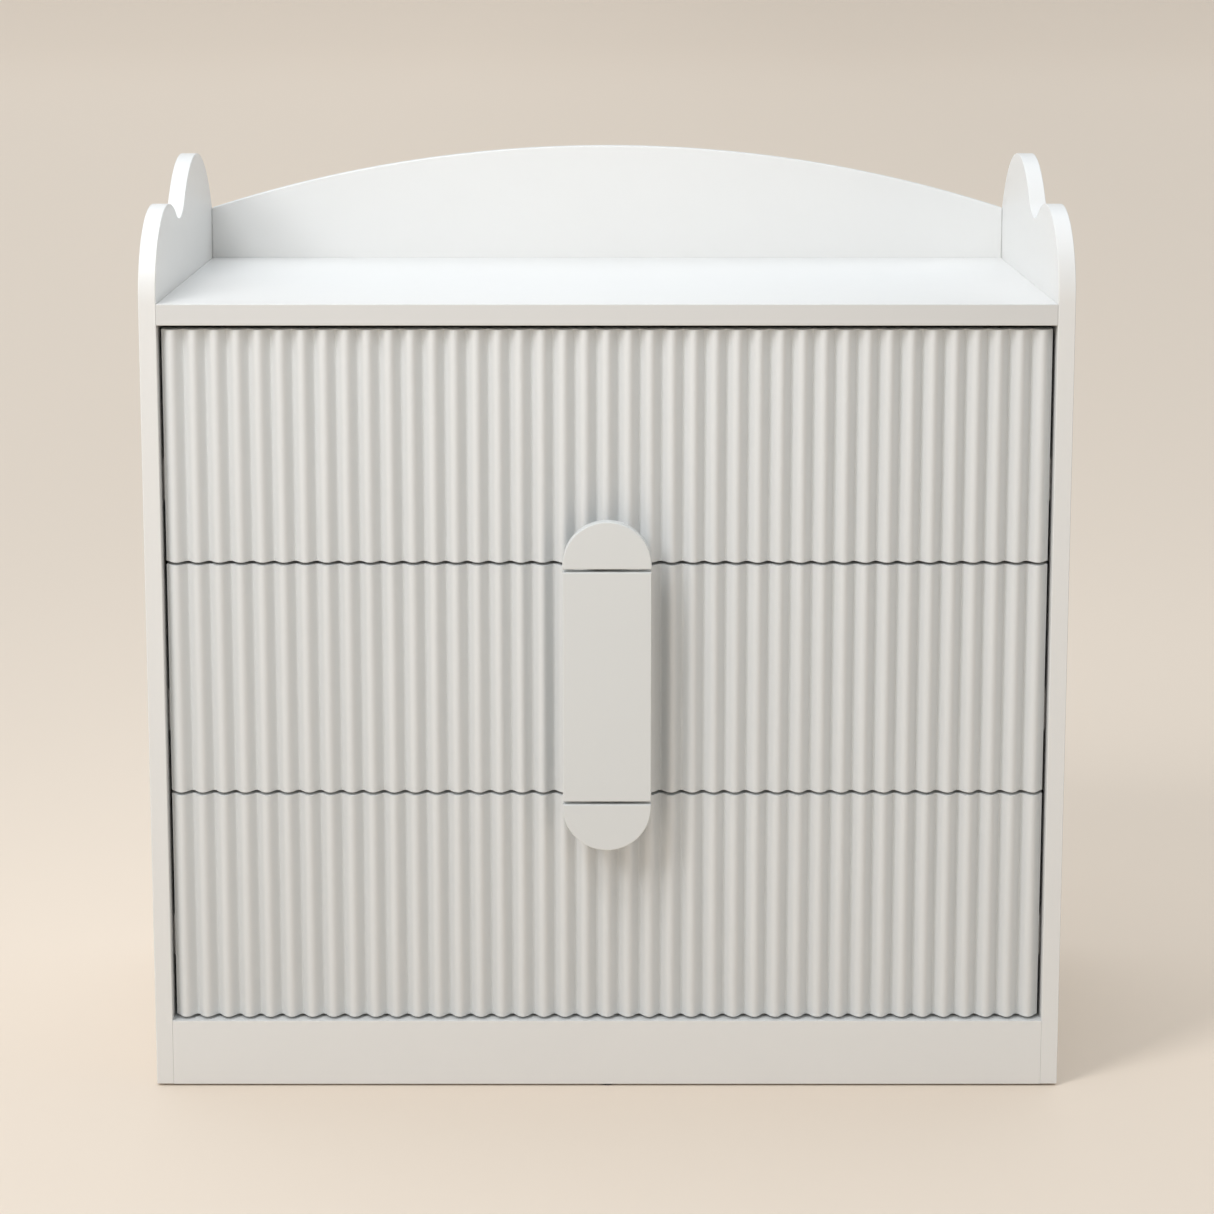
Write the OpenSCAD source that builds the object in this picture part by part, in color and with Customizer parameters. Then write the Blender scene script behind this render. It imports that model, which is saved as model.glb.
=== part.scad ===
// Changing table: a chest of three reeded drawers under an open tray.
// Scalloped side guards and an arched back board stand round the tray.
// Frame: X across, front towards -Y, Z up, floor at Z = 0, origin under the middle.

/* [Cabinet] */
// Overall width over the side panels
cabinet_w = 960; // [900:10:1040]
// Depth from the front edges to the back
cabinet_d = 520; // [512:1:540]
// Height of the changing surface above the floor
surface_h = 837; // [829:1:864]
// Thickness of the lacquered boards
board_t = 18; // [17:1:19]
// Thickness of the tray board
tray_board_t = 22; // [20:1:24]
// Height of the top edge of the plinth
plinth_h = 72; // [68:1:80]
// Height of the floor glides
glide_h = 2; // [1:0.5:4]

/* [Guards round the tray] */
// Height of the front lobe above the tray
front_lobe_h = 93; // [80:1:100]
// Half length of the front lobe
front_lobe_a = 118; // [110:1:122]
// Height of the rear lobe above the tray
rear_lobe_h = 130; // [120:1:140]
// Radius of the rear lobe
rear_lobe_r = 171; // [165:1:176]
// Distance of the rear lobe's centre from the front edge
rear_lobe_y = 369; // [364:1:374]
// Radius of the hollow between the two lobes
valley_r = 65; // [50:1:75]
// Height of the back board's arch above the tray at its middle
arch_h = 130.5; // [120:0.5:140]
// Height of the back board above the tray at its ends
arch_end_h = 58; // [50:1:64]

/* [Drawers] */
// Number of reeds across each front
reed_count = 41; // [31:2:47]
// Depth of the grooves between the reeds
reed_depth = 11; // [6:0.5:11]
// Thickness of a reeded front over its crests
front_t = 24; // [22:1:26]
// Setback of the crests behind the cabinet's front edges
crest_inset = 4.5; // [3:0.5:6]
// Gap between neighbouring fronts
front_gap = 3; // [2:0.5:4]
// Gap between the fronts and the side panels
side_gap = 3; // [2.5:0.5:5]
// Gap above the top front
top_gap = 5; // [4:1:8]
// Height of the drawer boxes
box_h = 170; // [150:5:180]
// Length of the drawer boxes
box_l = 450; // [440:1:455]
// Thickness of the drawer boxes' boards
box_t = 12; // [12:1:14]

/* [Handles] */
// Width of the capsule that the three handles form together
handle_w = 92; // [84:1:100]
// Height of the capsule
handle_l = 348; // [340:1:352]
// Thickness of the handle plates
handle_t = 15; // [12:1:18]
// Distance of the handles' face in front of the cabinet's front edges
handle_proud = 33; // [30:1:36]
// Overhang of the handle plates past their necks
grip_inset = 24; // [20:1:26]

/* [Hidden] */

$fn = 48;
eps = 0.5;

white = [0.95, 0.95, 0.94];
lacquer_grey = [0.82, 0.82, 0.8];
box_white = [0.9, 0.89, 0.87];
steel = [0.66, 0.67, 0.68];
plastic = [0.2, 0.2, 0.2];
beech = [0.8, 0.68, 0.5];

BOTTOM = 0;
MIDDLE = 1;
TOP = 2;
levels = [["bottom", BOTTOM], ["middle", MIDDLE], ["top", TOP]];

// Cabinet: y runs from 0 at the front edges to cabinet_d at the back
front_y = handle_proud / 2 - cabinet_d / 2;
opening_w = cabinet_w - 2 * board_t;
inner_x = opening_w / 2;
top_under = surface_h - tray_board_t;
rear_t = 4;
rear_groove = 8;
rear_x = inner_x + rear_groove;
back_y = cabinet_d - board_t;
rear_y = back_y - rear_t;
floor_under = plinth_h - board_t;
arch_r = (inner_x * inner_x + pow(arch_h - arch_end_h, 2)) / (2 * (arch_h - arch_end_h));

// Drawers: box and front positions
front_w = opening_w - 2 * side_gap;
bottom_gap = 3;
front_h = (top_under - top_gap - plinth_h - bottom_gap - 2 * front_gap) / 3;
pitch = front_w / reed_count;
reed_steps = 10;
crest_warp = 17;
groove_y = crest_inset + reed_depth;
box_y = crest_inset + front_t;
rail_room = 12.7;
box_w = opening_w - 2 * rail_room;
box_x = box_w / 2;
box_lift = 24;
tray_t = 6;
tray_lift = 10;
tray_bite = 6;

// Telescopic rails, in the room between a side panel and a drawer box
sheet = 1.2;
rail_lift = 60;
rail_y = box_y + 2.5;
rail_l = 445;
mid_inset = 3;
cab_h = 45.6;
cab_flange = 8;
mid_h = 38;
mid_x = 3.2;
mid_flange = 7;
drw_h = 26;
drw_flange = 7.2;
rail_holes = [37, 229, 421];
rail_hole_r = 1.8;

// Handles
plate_y = -handle_proud;
neck_y = plate_y + handle_t;
handle_r = handle_w / 2;
handle_mid = front_z(MIDDLE) + front_h / 2;
neck_margin = 4;
neck_play = 0.2;
handle_screw_r = 2;
handle_screw_tip = -8;
grip_screw_x = 10;
end_l = (handle_l - front_h) / 2 - front_gap;
grip_screw_in = (grip_inset + end_l - neck_margin) / 2;
mid_screw_span = 120;

// Other fixings
play = 0.05;
cam_r = 7.5;
cam_depth = 13;
cam_in = 34;
cam_ys = [60, 250, 440];
bolt_r = 2.5;
bolt_bite = 11;
bolt_tunnel_r = 4;
dowel_r = 4;
dowel_half = 14;
dowel_ys = [120, 380];
base_mid = floor_under + board_t / 2;
top_mid = top_under + tray_board_t / 2;
back_dowel_h = 25;
board_screw_r = 2;
board_head_r = 4;
board_head_t = 3;
board_screw_l = 38;
board_screw_z = top_under + 0.6 * tray_board_t;
board_screw_xs = [-400, -200, 0, 200, 400];
pin_r = 0.9;
pin_head_r = 2.5;
pin_head_t = 1;
pin_bite = 13;
pin_xs = [-400:100:400];
glide_in = 40;
glide_r = 8;
glide_nail_r = 1.2;
glide_nail_l = 12;
bracket_x = 380;
bracket_w = 40;
bracket_t = 2;
bracket_drop = 40;
wall_hole_r = 3;
wall_hole_drop = 25;
bracket_screw_r = 1.75;
bracket_screw_l = 16;
bracket_head_r = 3.5;
bracket_head_t = 2;
front_screw_r = 1.9;
front_screw_xs = [-390, -130, 130, 390];
front_screw_zs = [35, 135];
front_screw_tip = 18;
front_head_r = 4;
front_head_t = 2.5;
handle_head_r = 4.5;
handle_head_t = 3;
rail_head_r = 3.4;
rail_head_t = 1.5;
panel_screw_bite = 13;
box_screw_bite = 9;
box_screw_l = box_screw_bite + sheet + 1;
block_w = 20;
block_h = 40;
cam_slot_l = 8;
cam_slot_w = 1.2;
cam_slot_t = 1.5;

function front_z(i) = plinth_h + bottom_gap + i * (front_h + front_gap);
function box_z(i) = front_z(i) + box_lift;
function rail_z(i) = box_z(i) + rail_lift;

// A reed's face: a cosine wave, warped so that the crests are broader than the grooves
function reed_y(k) =
    let (turn = 360 * k / reed_steps)
    crest_inset + reed_depth * (1 + cos(turn + crest_warp * sin(turn))) / 2;

// Screw places of handle i as [x, z]: side by side on the end pieces, in line on the middle one
function handle_spots(i) =
    i == MIDDLE ? [[0, handle_mid - mid_screw_span / 2], [0, handle_mid + mid_screw_span / 2]] :
    i == TOP ? [for (s = [-1, 1]) [s * grip_screw_x, handle_mid + handle_l / 2 - grip_screw_in]] :
    [for (s = [-1, 1]) [s * grip_screw_x, handle_mid - handle_l / 2 + grip_screw_in]];
function handle_seat(i) = i == MIDDLE ? box_y + box_t : box_y;

// Puts the cabinet's own coordinates, with y = 0 at the front edges, in the part's frame
module placed() {
    translate([0, front_y, 0]) children();
}

// A board given by its lowest and highest corners
module board(low, high) {
    translate(low) cube(high - low);
}

// An outline in x and z, given thickness t from y rearwards
module upright(y, t) {
    translate([0, y + t, 0]) rotate([90, 0, 0]) linear_extrude(t) children();
}

// A rod from y to y + l at x and z
module rod_y(x, y, z, r, l) {
    translate([x, y + l, z]) rotate([90, 0, 0]) cylinder(r = r, h = l);
}

// A rod from x to x + l at y and z
module rod_x(x, y, z, r, l) {
    translate([x, y, z]) rotate([0, 90, 0]) cylinder(r = r, h = l);
}

// Both sides of the cabinet, the left one as drawn for the right and mirrored
module both_sides() {
    children();
    mirror([1, 0, 0]) children();
}

// Outline of a side panel in y and z, with its two lobes
module guard_outline() {
    intersection() {
        translate([0, glide_h]) square([cabinet_d, surface_h + rear_lobe_h]);
        offset(r = -valley_r, $fn = 120) offset(r = valley_r, $fn = 120) union() {
            square([cabinet_d, surface_h]);
            translate([front_lobe_a, surface_h])
                scale([1, front_lobe_h / front_lobe_a]) circle(r = front_lobe_a, $fn = 96);
            translate([rear_lobe_y, surface_h + rear_lobe_h - rear_lobe_r])
                circle(r = rear_lobe_r, $fn = 120);
        }
    }
}

// The hole that a floor glide's nail goes into
module nail_hole() {
    cylinder(r = glide_nail_r + play, h = glide_h + glide_nail_l);
}

// The dowel between the back board and a side panel, drawn from x = 0
module back_dowel(r, l) {
    rod_x(0, back_y + board_t / 2, surface_h + back_dowel_h, r, l);
}

// The right side panel; the left one is its mirror image
module side_board() {
    difference() {
        translate([inner_x, 0, 0]) rotate([90, 0, 90]) linear_extrude(board_t) guard_outline();
        board([inner_x - eps, rear_y, floor_under], [rear_x, back_y, top_under + rear_groove]);
        for (z = [base_mid, top_mid]) {
            for (y = cam_ys) rod_x(inner_x - eps, y, z, bolt_r + play, bolt_bite + eps);
            for (y = dowel_ys) rod_x(inner_x - eps, y, z, dowel_r + play, dowel_half + eps);
        }
        translate([inner_x - dowel_half, 0, 0]) back_dowel(dowel_r + play, 2 * dowel_half);
        for (i = [BOTTOM, MIDDLE, TOP], y = rail_holes)
            rod_x(inner_x - eps, rail_y + y, rail_z(i), rail_hole_r, panel_screw_bite);
        for (y = [glide_in, cabinet_d - glide_in])
            translate([inner_x + board_t / 2, y, 0]) nail_hole();
    }
}

module right_side_panel() {
    color(white) placed() side_board();
}

module left_side_panel() {
    color(white) placed() mirror([1, 0, 0]) side_board();
}

// Holes for the cam fittings and dowels in the ends of a board from its underside, at height z, to its middle
module end_fittings(z, middle) {
    both_sides() {
        for (y = cam_ys) {
            translate([inner_x - cam_in, y, z - eps]) cylinder(r = cam_r, h = cam_depth + eps);
            rod_x(inner_x - cam_in, y, middle, bolt_tunnel_r, cam_in + eps);
        }
        for (y = dowel_ys) rod_x(inner_x - dowel_half, y, middle, dowel_r + play, dowel_half + eps);
    }
}

module changing_top() {
    color(white) placed() difference() {
        board([-inner_x, 0, top_under], [inner_x, back_y, surface_h]);
        board([-cabinet_w, rear_y, top_under - eps], [cabinet_w, back_y + eps, top_under + rear_groove]);
        end_fittings(top_under, top_mid);
        for (x = board_screw_xs)
            rod_y(x, cabinet_d - board_screw_l - 1, board_screw_z, board_screw_r + play, board_screw_l);
    }
}

module arched_back_board() {
    color(white) placed() difference() {
        upright(back_y, board_t) intersection() {
            translate([-inner_x, top_under]) square([opening_w, tray_board_t + arch_h]);
            translate([0, surface_h + arch_h - arch_r]) circle(r = arch_r);
        }
        for (x = board_screw_xs) {
            rod_y(x, back_y - eps, board_screw_z, board_screw_r + play, board_t + 2 * eps);
            rod_y(x, cabinet_d - board_head_t, board_screw_z, board_head_r + play, board_head_t + eps);
        }
        both_sides() translate([inner_x - dowel_half, 0, 0]) back_dowel(dowel_r + play, dowel_half + eps);
        bracket_screw_places() cylinder(r = bracket_screw_r + play, h = bracket_screw_l);
    }
}

// The two places of each wall bracket's screws, on the back board's lower edge
module bracket_screw_places() {
    for (x = [-bracket_x, bracket_x], s = [-1, 1])
        translate([x + s * bracket_w / 4, back_y + board_t / 2, top_under]) children();
}

module rear_panel() {
    color(box_white) placed() difference() {
        board([-rear_x, rear_y, floor_under], [rear_x, back_y, top_under + rear_groove]);
        for (x = pin_xs) rod_y(x, rear_y - eps, base_mid, pin_r + play, rear_t + 2 * eps);
    }
}

module bottom_panel() {
    color(white) placed() difference() {
        board([-inner_x, board_t, floor_under], [inner_x, rear_y, plinth_h]);
        end_fittings(floor_under, base_mid);
        for (x = pin_xs) rod_y(x, rear_y - pin_bite - 1, base_mid, pin_r + play, pin_bite + 1 + eps);
    }
}

module front_plinth() {
    color(white) placed() difference() {
        board([-inner_x, 0, glide_h], [inner_x, board_t, plinth_h]);
        translate([0, board_t / 2, 0]) nail_hole();
    }
}

module rear_plinth() {
    color(white) placed() difference() {
        board([-inner_x, rear_y - board_t, glide_h], [inner_x, rear_y, floor_under]);
        translate([0, rear_y - board_t / 2, 0]) nail_hole();
    }
}

module plinth_brace() {
    half = board_t / 2;
    color(white) placed() board([-half, board_t, glide_h], [half, rear_y - board_t, floor_under]);
}

module corner_blocks() {
    color(beech) placed() both_sides() for (y = [board_t, rear_y - board_t - block_w])
        board([inner_x - block_w, y, floor_under - block_h], [inner_x, y + block_w, floor_under]);
}

module floor_glides() {
    color(plastic) placed() {
        both_sides() for (y = [glide_in, cabinet_d - glide_in])
            translate([inner_x + board_t / 2, y, 0]) glide();
        translate([0, board_t / 2, 0]) glide();
        translate([0, rear_y - board_t / 2, 0]) glide();
    }
}

module glide() {
    cylinder(r = glide_r, h = glide_h);
    cylinder(r = glide_nail_r, h = glide_h + glide_nail_l - 1);
}

module cam_locks() {
    color(steel) placed() for (z = [floor_under, top_under]) both_sides() for (y = cam_ys) difference() {
        translate([inner_x - cam_in, y, z]) cylinder(r = cam_r - 0.1, h = cam_depth - 0.5);
        rod_x(inner_x - cam_in, y, z == top_under ? top_mid : base_mid, bolt_tunnel_r, cam_r + eps);
        for (turn = [0, 90]) translate([inner_x - cam_in, y, z - eps + cam_slot_t / 2]) rotate([0, 0, turn])
            cube([cam_slot_l, cam_slot_w, cam_slot_t], center = true);
    }
}

module cam_bolts() {
    color(steel) placed() for (z = [base_mid, top_mid]) both_sides() for (y = cam_ys) {
        rod_x(inner_x - cam_in + 2, y, z, bolt_r, cam_in - 2 + bolt_bite - 1);
        rod_x(inner_x - cam_in + 1, y, z, bolt_tunnel_r - 0.3, 3);
        rod_x(inner_x - 6, y, z, bolt_tunnel_r - 0.2, 6);
    }
}

module wood_dowels() {
    l = 2 * dowel_half - 2;
    color(beech) placed() both_sides() {
        for (z = [base_mid, top_mid], y = dowel_ys)
            rod_x(inner_x - l / 2, y, z, dowel_r, l);
        translate([inner_x - l / 2, 0, 0]) back_dowel(dowel_r, l);
    }
}

module back_board_screws() {
    color(steel) placed() for (x = board_screw_xs) difference() {
        union() {
            rod_y(x, cabinet_d - board_head_t, board_screw_z, board_head_r, board_head_t - 0.4);
            rod_y(x, cabinet_d - board_screw_l, board_screw_z, board_screw_r, board_screw_l - 1);
        }
        rod_y(x, cabinet_d - 2, board_screw_z, 1.4, 4, $fn = 6);
    }
}

module rear_panel_pins() {
    color(steel) placed() for (x = pin_xs) {
        rod_y(x, rear_y - pin_bite, base_mid, pin_r, rear_t + pin_bite + pin_head_t / 2);
        rod_y(x, back_y, base_mid, pin_head_r, pin_head_t);
    }
}

module wall_brackets() {
    color(steel) placed() for (x = [-bracket_x, bracket_x]) difference() {
        translate([x - bracket_w / 2, 0, 0]) {
            board([0, back_y + 1, top_under - bracket_t], [bracket_w, cabinet_d, top_under]);
            board([0, cabinet_d - bracket_t, top_under - bracket_drop], [bracket_w, cabinet_d, top_under]);
        }
        rod_y(x, cabinet_d - 2 * bracket_t, top_under - wall_hole_drop, wall_hole_r, 3 * bracket_t);
        for (s = [-1, 1])
            translate([x + s * bracket_w / 4, back_y + board_t / 2, top_under - 2 * bracket_t])
                cylinder(r = bracket_screw_r + play, h = 3 * bracket_t);
    }
}

module bracket_screws() {
    color(steel) placed() bracket_screw_places() {
        translate([0, 0, -bracket_t - bracket_head_t]) cylinder(r = bracket_head_r, h = bracket_head_t);
        translate([0, 0, -bracket_t - 1]) cylinder(r = bracket_screw_r, h = bracket_screw_l);
    }
}

// A folded sheet channel: web of height h at distance x from the panel, flanges of length f
module channel(x, h, f, web_first) {
    web_x = web_first ? x : x + f - sheet;
    translate([web_x, -h / 2]) square([sheet, h]);
    for (z = [-h / 2, h / 2 - sheet]) translate([x, z]) square([f, sheet]);
}

// A pair of rails with the given cross-section, measured inwards from the side panels
module rail_pair(i, y, l) {
    both_sides() translate([inner_x, y + l, rail_z(i)]) mirror([1, 0, 0]) rotate([90, 0, 0])
        linear_extrude(l) children();
}

module cabinet_rails(i) {
    color(steel) placed() difference() {
        rail_pair(i, rail_y, rail_l) channel(0, cab_h, cab_flange, true);
        both_sides() for (y = rail_holes)
            rod_x(inner_x - 2 * sheet, rail_y + y, rail_z(i), rail_hole_r, 3 * sheet);
    }
}

module middle_rails(i) {
    color(steel) placed()
        rail_pair(i, rail_y + mid_inset, rail_l - 2 * mid_inset) channel(mid_x, mid_h, mid_flange, true);
}

module drawer_rails(i) {
    color(steel) placed() difference() {
        rail_pair(i, rail_y, rail_l) channel(rail_room - drw_flange, drw_h, drw_flange, false);
        both_sides() for (y = rail_holes) rod_x(box_x - sheet, rail_y + y, rail_z(i), rail_hole_r, 3 * sheet);
    }
}

module cabinet_rail_screws() {
    color(steel) placed() both_sides() for (i = [BOTTOM, MIDDLE, TOP], y = rail_holes) {
        rod_x(inner_x - sheet - rail_head_t, rail_y + y, rail_z(i), rail_head_r, rail_head_t);
        rod_x(inner_x - sheet - 1, rail_y + y, rail_z(i), rail_hole_r - play, panel_screw_bite);
    }
}

// A reeded drawer front, pocketed for its handle's neck
module drawer_front(i) {
    profile = [for (k = [0:reed_count * reed_steps]) [k * pitch / reed_steps - front_w / 2, reed_y(k)]];
    color(lacquer_grey) placed() difference() {
        translate([0, 0, front_z(i)]) linear_extrude(front_h)
            polygon(concat(profile, [[front_w / 2, box_y], [-front_w / 2, box_y]]));
        upright(-eps, groove_y + eps) neck_outline(i, neck_play);
        for (p = handle_spots(i)) rod_y(p[0], 0, p[1], handle_screw_r + play, box_y + eps);
        for (x = front_screw_xs, z = front_screw_zs)
            rod_y(x, front_screw_tip - 0.5, box_z(i) + z, front_screw_r + play, box_y);
    }
}

// The whole capsule, drawn in by inset all round
module capsule(inset) {
    half = handle_l / 2 - handle_r;
    r = handle_r - inset;
    translate([0, handle_mid]) {
        square([2 * r, 2 * half], center = true);
        for (s = [-1, 1]) translate([0, s * half]) circle(r = r, $fn = 96);
    }
}

// The stretch of the capsule that drawer i carries, margin inside its front
module handle_outline(i, inset, margin) {
    intersection() {
        capsule(inset);
        translate([-handle_w, front_z(i) + margin]) square([2 * handle_w, front_h - 2 * margin]);
    }
}

module neck_outline(i, grow) {
    handle_outline(i, grip_inset - grow, neck_margin - grow);
}

module handle_plate(i) {
    color(lacquer_grey) placed() upright(plate_y, handle_t) handle_outline(i, 0, 0);
}

module handle_neck(i) {
    color(lacquer_grey) placed() difference() {
        upright(neck_y, groove_y - neck_y) neck_outline(i, 0);
        for (p = handle_spots(i))
            rod_y(p[0], handle_screw_tip - 1, p[1], handle_screw_r + play, groove_y - handle_screw_tip + 2);
    }
}

module box_side(i) {
    difference() {
        board([box_x - box_t, box_y, box_z(i)], [box_x, box_y + box_l, box_z(i) + box_h]);
        tray_panel(i);
        for (y = rail_holes)
            rod_x(box_x - box_screw_bite - 1, rail_y + y, rail_z(i), rail_hole_r, box_screw_bite + 1 + eps);
    }
}

// The thin bottom, which stands in grooves in the four boards round it
module tray_panel(i) {
    z = box_z(i) + tray_lift;
    x = box_x - box_t + tray_bite;
    board([-x, box_y + box_t - tray_bite, z], [x, box_y + box_l - box_t + tray_bite, z + tray_t]);
}

module box_right(i) {
    color(box_white) placed() box_side(i);
}

module box_left(i) {
    color(box_white) placed() mirror([1, 0, 0]) box_side(i);
}

module box_front(i) {
    color(box_white) placed() difference() {
        board([box_t - box_x, box_y, box_z(i)], [box_x - box_t, box_y + box_t, box_z(i) + box_h]);
        tray_panel(i);
        for (p = handle_spots(i)) rod_y(p[0], 0, p[1], handle_screw_r + play, box_y + box_t + eps);
        for (x = front_screw_xs, z = front_screw_zs)
            rod_y(x, 0, box_z(i) + z, front_screw_r + play, box_y + box_t + eps);
    }
}

module box_back(i) {
    y = box_y + box_l - box_t;
    color(box_white) placed() difference() {
        board([box_t - box_x, y, box_z(i)], [box_x - box_t, y + box_t, box_z(i) + box_h]);
        tray_panel(i);
    }
}

module box_bottom(i) {
    color(box_white) placed() tray_panel(i);
}

// Screws of drawer i: handle, front and rails
module drawer_screws(i) {
    color(steel) placed() {
        for (p = handle_spots(i)) {
            rod_y(p[0], handle_seat(i), p[1], handle_head_r, handle_head_t);
            rod_y(p[0], handle_screw_tip, p[1], handle_screw_r, handle_seat(i) + 1 - handle_screw_tip);
        }
        for (x = front_screw_xs, z = front_screw_zs) {
            rod_y(x, box_y + box_t, box_z(i) + z, front_head_r, front_head_t);
            rod_y(x, front_screw_tip, box_z(i) + z, front_screw_r, box_y + box_t + 1 - front_screw_tip);
        }
        both_sides() for (y = rail_holes) {
            rod_x(box_x + sheet, rail_y + y, rail_z(i), rail_head_r, rail_head_t);
            rod_x(box_x - box_screw_bite, rail_y + y, rail_z(i), rail_hole_r - play, box_screw_l);
        }
    }
}

left_side_panel();
right_side_panel();
changing_top();
arched_back_board();
rear_panel();
bottom_panel();
front_plinth();
rear_plinth();
plinth_brace();
corner_blocks();
floor_glides();
cam_locks();
cam_bolts();
wood_dowels();
back_board_screws();
rear_panel_pins();
wall_brackets();
bracket_screws();
cabinet_rail_screws();

for (level = levels) {
    name = level[0];
    i = level[1];
    cabinet_rails(i);
    middle_rails(i);
    drawer_front(i);
    box_front(i);
    box_left(i);
    box_right(i);
    box_back(i);
    box_bottom(i);
    drawer_rails(i);
    handle_plate(i);
    handle_neck(i);
    drawer_screws(i);
}
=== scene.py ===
"""Changing table: the finished look of a chest of reeded drawers under a scalloped changing tray."""

import logging
import math
from dataclasses import dataclass, field
from enum import Enum
from typing import Callable, Iterable, Sequence

import bpy
from mathutils import Matrix, Vector


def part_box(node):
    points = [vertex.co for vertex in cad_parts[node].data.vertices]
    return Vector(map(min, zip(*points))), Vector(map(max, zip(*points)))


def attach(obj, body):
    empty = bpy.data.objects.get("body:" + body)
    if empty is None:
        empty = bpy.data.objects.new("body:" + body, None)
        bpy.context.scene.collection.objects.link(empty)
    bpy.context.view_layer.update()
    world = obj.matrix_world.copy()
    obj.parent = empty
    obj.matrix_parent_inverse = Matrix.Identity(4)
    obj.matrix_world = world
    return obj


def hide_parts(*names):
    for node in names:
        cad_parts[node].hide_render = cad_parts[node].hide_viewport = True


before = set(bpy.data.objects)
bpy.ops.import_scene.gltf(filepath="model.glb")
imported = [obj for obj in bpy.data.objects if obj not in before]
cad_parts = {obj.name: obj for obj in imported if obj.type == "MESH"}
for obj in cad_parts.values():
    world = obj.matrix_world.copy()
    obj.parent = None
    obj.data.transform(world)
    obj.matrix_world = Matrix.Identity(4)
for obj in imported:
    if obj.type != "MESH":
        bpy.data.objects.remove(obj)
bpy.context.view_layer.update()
LOG = logging.getLogger("changing_table")
MM = 0.001
FULL_TURN = 2 * math.pi
FLAT_ANGLE = math.radians(38)
Point = tuple[float, float]
Box = tuple[Vector, Vector]
Colour = tuple[float, float, float]


class Axis(Enum):
    """A row axis, by its index in a vector."""

    X = 0
    Y = 1
    Z = 2


class Side(Enum):
    """A side of the chest, by its sign along X."""

    LEFT = -1
    RIGHT = 1


class Level(Enum):
    """A drawer's place in the chest, by the word that its nodes start with."""

    BOTTOM = "bottom"
    MIDDLE = "middle"
    TOP = "top"


# ---------------------------------------------------------------- shader maths


class Signal:
    """A node socket's value, with arithmetic that adds Math nodes."""

    def __init__(self, tree: bpy.types.NodeTree, socket: bpy.types.NodeSocket) -> None:
        """Wraps an output socket of a node tree."""
        self.tree = tree
        self.socket = socket

    def math(self, operation: str, *values: "Signal | float", clamp: bool = False) -> "Signal":
        """Adds one Math node.

        Args:
            operation: the Math node's operation.
            values: its inputs, in order.
            clamp: whether the result is kept between 0 and 1.

        Returns:
            The node's result.
        """
        node = self.tree.nodes.new("ShaderNodeMath")
        node.operation = operation
        node.use_clamp = clamp
        for socket, value in zip(node.inputs, values):
            if isinstance(value, Signal):
                self.tree.links.new(value.socket, socket)
            else:
                socket.default_value = value
        return Signal(self.tree, node.outputs[0])

    def __add__(self, other: "Signal | float") -> "Signal":
        """Returns the sum."""
        return self.math("ADD", self, other)

    __radd__ = __add__

    def __sub__(self, other: "Signal | float") -> "Signal":
        """Returns the difference."""
        return self.math("SUBTRACT", self, other)

    def __rsub__(self, other: float) -> "Signal":
        """Returns the reflected difference."""
        return self.math("SUBTRACT", other, self)

    def __mul__(self, other: "Signal | float") -> "Signal":
        """Returns the product."""
        return self.math("MULTIPLY", self, other)

    __rmul__ = __mul__

    def above(self, edge: float, softness: float) -> "Signal":
        """Returns a mask that rises from 0 at edge to 1 at edge + softness."""
        return self.math("MULTIPLY", self - edge, 1 / softness, clamp=True)


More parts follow.
